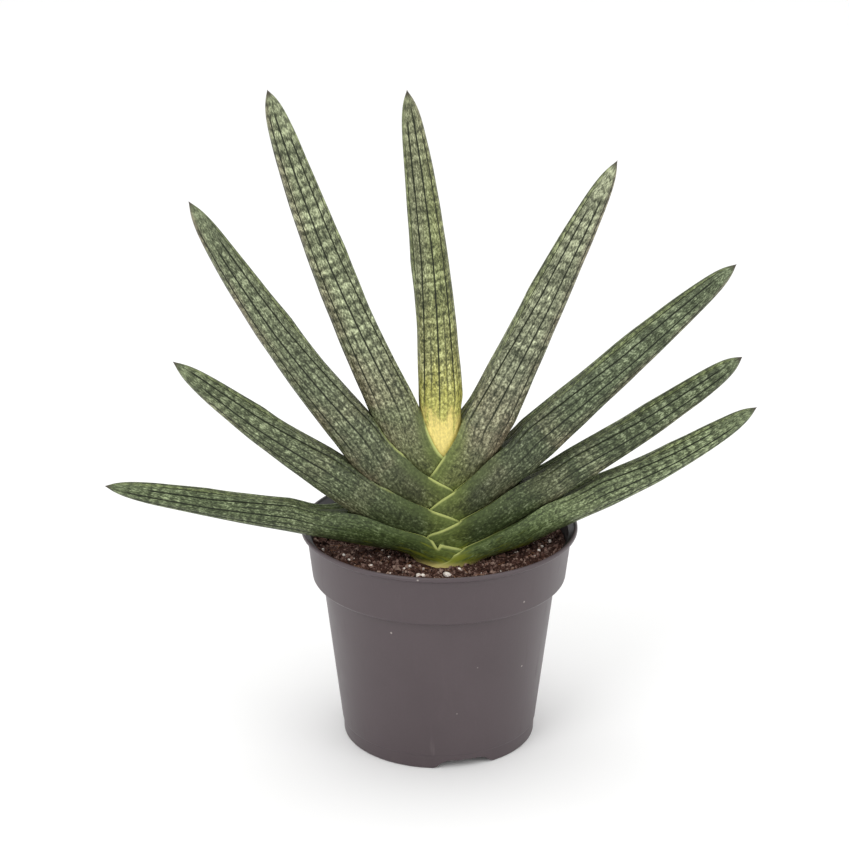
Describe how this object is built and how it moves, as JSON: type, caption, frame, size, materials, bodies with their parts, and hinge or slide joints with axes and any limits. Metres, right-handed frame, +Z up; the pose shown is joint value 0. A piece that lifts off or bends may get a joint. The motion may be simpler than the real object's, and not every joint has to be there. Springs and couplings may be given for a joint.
{
  "type": "cylindrical snake plant",
  "caption": "Young cylindrical snake plant: a fan of ribbed round leaves with clasping bases, rooted in soil in a tapered plastic nursery pot.",
  "frame": {"origin": "on the pot's axis, at the surface that the pot stands on", "axes": "+Z up, +X to the right along the front view of the leaf fan, -Y towards the front"},
  "size_m": [0.2777, 0.12, 0.2904],
  "materials": {
    "pot_plastic": "satin grey-brown moulded plastic",
    "potting_mix": "crumbly dark peat with white perlite",
    "leaf_green": "waxy dark grey-green with paler cross-bands and dark grooves",
    "centre_leaf_green": "waxy grey-green, cream at its base",
    "rhizome_skin": "pale orange-brown skin"
  },
  "bodies": {
    "root": {"pot": "pot_plastic", "soil": "potting_mix", "rhizome_roots": "rhizome_skin", "leaf_right_1": "leaf_green", "leaf_left_1": "leaf_green", "leaf_right_2": "leaf_green", "leaf_left_2": "leaf_green", "leaf_right_3": "leaf_green", "leaf_left_3": "leaf_green", "leaf_right_4": "leaf_green", "leaf_left_4": "leaf_green", "leaf_centre": "centre_leaf_green"}
  },
  "joints": []
}
